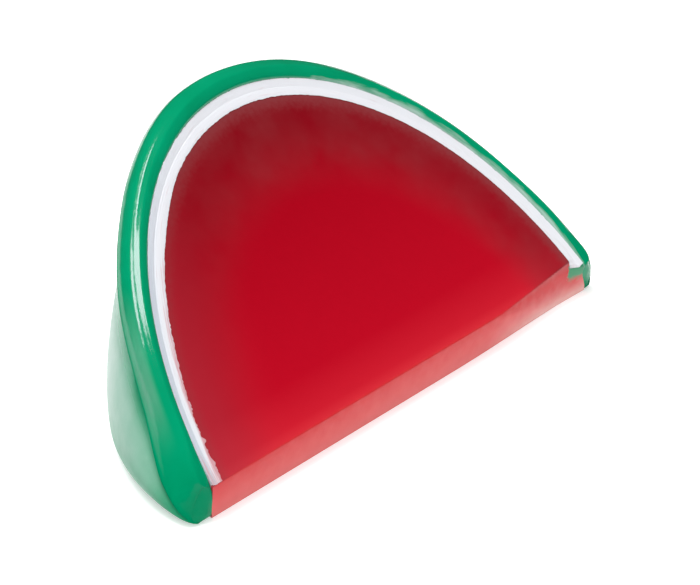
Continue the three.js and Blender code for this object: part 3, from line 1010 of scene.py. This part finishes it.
def red_finish(sizes, colours):
    """Boiled sugar, poured and polished: deep and clear red, painted brighter where it is thin, for the
    light that comes through.
    """
    material, tree, shader = new_material("boiled_sugar_red_poured")
    place = face_place(tree, sizes)
    spot = add(tree, SPLIT, {0: add(tree, PLACE).outputs["Object"]}).outputs
    edge = add(tree, ATTRIBUTE, attribute_name="edge").outputs["Vector"]
    out = add(tree, SPLIT, {0: edge}).outputs[1]
    thin = add(tree, RANGE, {0: out, 1: 0.0, 2: 0.012, 3: 1.0, 4: 0.0}, interpolation_type="SMOOTHSTEP")
    face = red_face_colour(tree, place, sizes, colours)
    strip = red_edge_colour(tree, place, spot, colours)
    smear = green_on_red(tree, place, spot)
    colour = add(tree, MIX, {0: thin, 6: face, 7: strip}, data_type="RGBA").outputs[2]
    colour = add(tree, MIX, {0: smear, 6: colour, 7: (*colours.green_smear, 1)},
                 data_type="RGBA").outputs[2]
    tree.links.new(colour, shader.inputs["Base Color"])

    # The poured face waves faintly every 6 mm, and the blunt edge is scuffed.
    wave = add(tree, NOISE, {"Vector": place, "Scale": 1 / (6.0 * MM), "Detail": 2.0})
    bump = add(tree, BUMP, {"Height": wave, "Strength": 0.08, "Distance": 0.3 * MM})
    tree.links.new(bump.outputs[0], shader.inputs["Normal"])
    scuffed = add(tree, RANGE, {0: thin, 3: 0.5, 4: 0.22})
    tree.links.new(scuffed.outputs[0], shader.inputs["Specular IOR Level"])
    shader.inputs["Roughness"].default_value = 0.22
    shader.inputs["IOR"].default_value = 1.42
    return material


def white_finish(colours):
    """Pulled sugar, opaque white: satin, with painted shade that makes it cooler and greyer where it slopes
    up to the green.
    """
    material, tree, shader = new_material("pulled_sugar_white_opaque")
    band = add(tree, ATTRIBUTE, attribute_name="place").outputs["Vector"]
    parts = add(tree, SPLIT, {0: band}).outputs

    # Painted shade: the slope up to the green is painted a cooler grey, and the two tones meet at the
    # groove, which shows on the left half of the arch.
    cool = add(tree, RANGE, {0: parts[2], 1: -0.75, 2: -0.3, 3: 0.0, 4: 1.0},
               interpolation_type="SMOOTHSTEP")
    left = add(tree, RANGE, {0: parts[0], 1: 0.6, 2: 0.82, 3: 0.05, 4: 0.9})
    cool = add(tree, MATH, {0: cool, 1: left}, operation="MULTIPLY")
    colour = add(tree, MIX, {0: cool, 6: (*colours.white_main, 1), 7: (*colours.white_slope_shade, 1)},
                 data_type="RGBA").outputs[2]

    # The inner edge and the ends were brushed on: streaks about 3 mm long and 0.15 mm wide let the
    # red through.
    stroke = add(tree, VECTOR_MATH, {0: band, 1: (ARCH_LENGTH / 3.0, 0.0, WHITE_WIDTH / 0.15)},
                 operation="MULTIPLY")
    streak = add(tree, NOISE, {"Vector": stroke, "Scale": 1.0, "Detail": 3.0})
    lower = add(tree, RANGE, {0: parts[0], 1: 0.75, 2: 0.95, 3: 0.08, 4: 0.5})
    inner = add(tree, RANGE, {0: parts[2], 1: -0.72, 2: -1.0, 3: 0.0, 4: lower})
    ends = add(tree, MATH, {0: parts[0], 1: 0.5}, operation="SUBTRACT")
    ends = add(tree, RANGE, {0: ends, 1: 0.45, 2: 0.5, 3: 0.0, 4: 0.3})
    show = add(tree, MATH, {0: inner, 1: ends}, operation="ADD")
    show = add(tree, MATH, {0: show, 1: streak}, operation="ADD")
    show = add(tree, RANGE, {0: show, 1: 0.62, 2: 0.95, 3: 0.0, 4: 0.9})
    colour = add(tree, MIX, {0: show, 6: colour, 7: (*colours.white_pink, 1)}, data_type="RGBA").outputs[2]
    tree.links.new(colour, shader.inputs["Base Color"])
    bump = add(tree, BUMP, {"Height": streak, "Strength": 0.25, "Distance": 0.1 * MM})
    tree.links.new(bump.outputs[0], shader.inputs["Normal"])
    shader.inputs["Roughness"].default_value = 0.35
    shader.inputs["IOR"].default_value = 1.5
    return material


def painted_sheen(tree, place, along_wall, height, sheen):
    """How strong the painted pale sheen, a painted reflection of the bright floor, lies on the green: most
    on the lower wall, in patches some 2.5 mm wide with finer specks in them, and weaker toward the ground."""
    patchy = add(tree, NOISE, {"Vector": place, "Scale": 1 / (2.5 * MM), "Detail": 5.0})
    patchy = add(tree, RANGE, {0: patchy, 1: 0.3, 2: 0.7, 3: 0.85, 4: 1.1})
    amount = add(tree, RANGE, {0: along_wall[1], 1: 0.15, 2: 0.62, 3: 0.25, 4: 1.0})
    amount = add(tree, MATH, {0: amount, 1: patchy}, operation="MULTIPLY")
    ground_fade = add(tree, RANGE, {0: height, 1: 0.0, 2: 10.0 * MM, 3: 0.2, 4: 1.0})
    amount = add(tree, MATH, {0: amount, 1: ground_fade}, operation="MULTIPLY")
    low = add(tree, RANGE, {0: height, 1: 17.0 * MM, 2: 12.0 * MM, 3: 0.0, 4: amount},
              interpolation_type="SMOOTHSTEP")
    sheen = add(tree, MATH, {0: sheen, 1: low}, operation="MULTIPLY")
    return add(tree, MATH, {0: sheen, 1: 0.0}, operation="MAXIMUM")


def green_finish(sizes, colours):
    """Moulded sugar, opaque green: glossy, with a painted pale sheen, a painted reflection of the bright
    floor, on the outside wall.
    """
    material, tree, shader = new_material("moulded_sugar_green_glossy")
    place = face_place(tree, sizes)
    patch = add(tree, NOISE, {"Vector": place, "Scale": 1 / (7.0 * MM), "Detail": 3.0})
    share = add(tree, RANGE, {0: patch, 1: 0.35, 2: 0.7, 3: 0.0, 4: 0.6})
    colour = add(tree, MIX, {0: share, 6: (*colours.green_main, 1), 7: (*colours.green_deep, 1)},
                 data_type="RGBA").outputs[2]

    height = add(tree, SPLIT, {0: add(tree, PLACE).outputs["Object"]}).outputs[2]
    edge = add(tree, ATTRIBUTE, attribute_name="edge").outputs["Vector"]
    marked = add(tree, SPLIT, {0: edge}).outputs[2]
    wall = add(tree, ATTRIBUTE, attribute_name="place").outputs["Vector"]
    parts = add(tree, SPLIT, {0: wall}).outputs
    # Painted reflection: the pale sheen of the bright floor, painted on the outside wall and the rim's side.
    sheen = painted_sheen(tree, place, parts, height, marked)
    colour = add(tree, MIX, {0: sheen, 6: colour, 7: (*colours.green_pale, 1)}, data_type="RGBA").outputs[2]

    # Smears of white on the rim beside the white layer, at the right: 2.5 mm long, 0.25 mm wide.
    stroke = add(tree, VECTOR_MATH, {0: wall, 1: (ARCH_LENGTH / 2.5, 0.0, RIM_WIDTH / 0.25)},
                 operation="MULTIPLY")
    streak = add(tree, NOISE, {"Vector": stroke, "Scale": 1.0, "Detail": 4.0})
    beside = add(tree, RANGE, {0: parts[2], 1: 0.5, 2: 0.0, 3: 0.0, 4: 1.0})
    right = add(tree, RANGE, {0: parts[0], 1: 0.5, 2: 0.3, 3: 0.0, 4: beside})
    smear = add(tree, MATH, {0: right, 1: streak}, operation="ADD")
    smear = add(tree, RANGE, {0: smear, 1: 1.05, 2: 1.5, 3: 0.0, 4: 0.75})
    colour = add(tree, MIX, {0: smear, 6: colour, 7: (*colours.green_pale, 1)}, data_type="RGBA").outputs[2]
    tree.links.new(colour, shader.inputs["Base Color"])
    matt = add(tree, RANGE, {0: sheen, 1: 0.0, 2: 0.35, 3: 0.11, 4: 0.34})
    tree.links.new(matt.outputs[0], shader.inputs["Roughness"])

    # The feet and the groove under the rim are dull from handling.
    groove = add(tree, RANGE, {0: marked, 1: 0.0, 2: -1.0, 3: 0.0, 4: 1.0})
    gloss = add(tree, RANGE, {0: height, 1: 3.0 * MM, 2: 10.0 * MM, 3: 0.05, 4: 0.52})
    gloss = add(tree, MIX, {0: groove, 2: gloss, 3: 0.0})
    tree.links.new(gloss.outputs[0], shader.inputs["Specular IOR Level"])

    # Small dents some 0.9 mm wide lie on faint waves of about 7 mm.
    dents = add(tree, NOISE, {"Vector": place, "Scale": 1 / (0.9 * MM), "Detail": 2.0})
    bump = add(tree, BUMP, {"Height": dents, "Strength": 0.3, "Distance": 0.06 * MM})
    bump = add(tree, BUMP, {"Height": patch, "Strength": 0.1, "Distance": 0.3 * MM, "Normal": bump})
    tree.links.new(bump.outputs[0], shader.inputs["Normal"])
    shader.inputs["IOR"].default_value = 1.5
    shader.inputs["Specular Tint"].default_value = (1.0, 0.82, 1.0, 1.0)
    return material


# Operators.

# The lights: name, place in metres, length and width in metres, and the turn in degrees of the one
# that hangs level. The others are aimed at the wedge. Only the strip shows in the gloss.
LIGHTS = (
    ("top_light", (-0.1, 0.1, 0.9), 0.9, 0.9, None),
    ("side_light", (-0.55, -0.6, 0.6), 0.45, 0.45, None),
    ("strip_light", (-0.155, 0.135, 0.87), 0.82, 0.17, 23.7),
)

# Half the floor's width in metres, how much it glows like a light table, and the middle of the
# camera's view in millimetres.
FLOOR_HALF = 1.5
FLOOR_GLOW = 0.5
VIEW_MIDDLE = (7.391, 0.0, 4.915)


class CANDY_OT_red_body(bpy.types.Operator):
    """Make the clear red body"""

    bl_idname = "candy.red_body"
    bl_label = "Red body"

    def execute(self, context):
        sizes = context.scene.candy_sizes
        material = red_finish(sizes, context.scene.candy_colours)
        mesh = shape_blank("red_body", red_loops(sizes), sizes, material, False)
        points, under = mesh_points(mesh)
        round_edges(points, sizes, RED_CORNERS, False)
        press_facet(mesh, points, sizes, under)
        make_piece("red_body", mesh, points, "red_candy_body")
        return {"FINISHED"}


class CANDY_OT_white_layer(bpy.types.Operator):
    """Make the opaque white layer"""

    bl_idname = "candy.white_layer"
    bl_label = "White layer"

    def execute(self, context):
        sizes = context.scene.candy_sizes
        material = white_finish(context.scene.candy_colours)
        mesh = shape_blank("white_layer", white_loops(sizes), sizes, material, True)
        points, under = mesh_points(mesh)
        press_facet(mesh, points, sizes, under)
        make_piece("white_layer", mesh, points, "white_candy_layer")
        return {"FINISHED"}


class CANDY_OT_green_shell(bpy.types.Operator):
    """Make the green shell with its raised rim"""

    bl_idname = "candy.green_shell"
    bl_label = "Green shell"

    def execute(self, context):
        sizes = context.scene.candy_sizes
        material = green_finish(sizes, context.scene.candy_colours)
        mesh = shape_blank("green_shell", green_loops(sizes), sizes, material, True)
        points, under = mesh_points(mesh)
        round_edges(points, sizes, GREEN_CORNERS, True)
        press_facet(mesh, points, sizes, under)
        soften_feet(mesh, points, sizes)
        make_piece("green_shell", mesh, points, "green_candy_shell")
        return {"FINISHED"}


class CANDY_OT_stage(bpy.types.Operator):
    """Make the pale floor, the soft lights and the camera"""

    bl_idname = "candy.stage"
    bl_label = "Stage"

    def execute(self, context):
        scene = context.scene
        settings = scene.candy_stage
        material, _, shader = new_material("pale_studio_floor_matt")
        shader.inputs["Base Color"].default_value = (*scene.candy_colours.floor, 1)
        shader.inputs["Roughness"].default_value = 0.9
        shader.inputs["Emission Color"].default_value = (1.0, 1.0, 1.0, 1.0)
        shader.inputs["Emission Strength"].default_value = FLOOR_GLOW
        grid = bmesh.new()
        bmesh.ops.create_grid(grid, x_segments=8, y_segments=8, size=FLOOR_HALF)
        mesh = bpy.data.meshes.new("floor")
        grid.to_mesh(mesh)
        grid.free()
        mesh.materials.append(material)
        floor = bpy.data.objects.new("floor", mesh)
        scene.collection.objects.link(floor)

        for name, place, length, width, turn in LIGHTS:
            lamp = bpy.data.lights.new(name, "AREA")
            lamp.shape = "RECTANGLE" if turn is None else "ELLIPSE"
            lamp.size = length
            lamp.size_y = width
            lamp.energy = getattr(settings, name)
            light = bpy.data.objects.new(name, lamp)
            light.location = place
            aimed = (-Vector(place)).to_track_quat("-Z", "Y")
            if turn is not None:
                aimed = Quaternion((0.0, 0.0, 1.0), math.radians(turn))
            light.rotation_euler = aimed.to_euler()
            light.visible_glossy = turn is not None
            scene.collection.objects.link(light)

        world = bpy.data.worlds.new("studio")
        scene.world = world
        world.use_nodes = True
        surround = world.node_tree.nodes["Background"]
        surround.inputs["Color"].default_value = (*scene.candy_colours.surround, 1)
        surround.inputs["Strength"].default_value = 1.0

        turn, rise = settings.camera_azimuth, settings.camera_elevation
        back = Vector((math.sin(turn) * math.cos(rise), -math.cos(turn) * math.cos(rise), math.sin(rise)))
        across = Vector((math.cos(turn), math.sin(turn), 0.0))
        axes = Matrix((across, back.cross(across), back)).transposed()
        data = bpy.data.cameras.new("camera")
        data.lens = settings.lens
        camera = bpy.data.objects.new("camera", data)
        target = Vector(VIEW_MIDDLE) * MM
        camera.matrix_world = (
            Matrix.Translation(target + back * settings.camera_distance)
            @ axes.to_4x4() @ Matrix.Rotation(settings.camera_roll, 4, "Z"))
        scene.collection.objects.link(camera)
        scene.camera = camera
        scene.view_settings.view_transform = "Standard"
        return {"FINISHED"}


class CANDY_PT_panel(bpy.types.Panel):
    """Lists the sizes, the colours and the pieces"""

    bl_label = "Candied watermelon"
    bl_space_type = "VIEW_3D"
    bl_region_type = "UI"
    bl_category = "Candy"

    def draw(self, context):
        for group in (context.scene.candy_sizes, context.scene.candy_colours, context.scene.candy_stage):
            box = self.layout.box()
            for name in group.__annotations__:
                box.prop(group, name)
        for operator in OPERATORS:
            self.layout.operator(operator.bl_idname)


GROUPS = (WedgeSizes, CandyColours, StageSettings)
OPERATORS = (CANDY_OT_red_body, CANDY_OT_white_layer, CANDY_OT_green_shell, CANDY_OT_stage)


def register():
    for item in GROUPS + OPERATORS + (CANDY_PT_panel,):
        bpy.utils.register_class(item)
    bpy.types.Scene.candy_sizes = bpy.props.PointerProperty(type=WedgeSizes)
    bpy.types.Scene.candy_colours = bpy.props.PointerProperty(type=CandyColours)
    bpy.types.Scene.candy_stage = bpy.props.PointerProperty(type=StageSettings)


def unregister():
    del bpy.types.Scene.candy_stage
    del bpy.types.Scene.candy_colours
    del bpy.types.Scene.candy_sizes
    for item in reversed(GROUPS + OPERATORS + (CANDY_PT_panel,)):
        bpy.utils.unregister_class(item)


def main():
    """Make every piece and the stage."""
    register()
    bpy.ops.candy.red_body()
    bpy.ops.candy.white_layer()
    bpy.ops.candy.green_shell()
    bpy.ops.candy.stage()


if __name__ == "__main__":
    main()
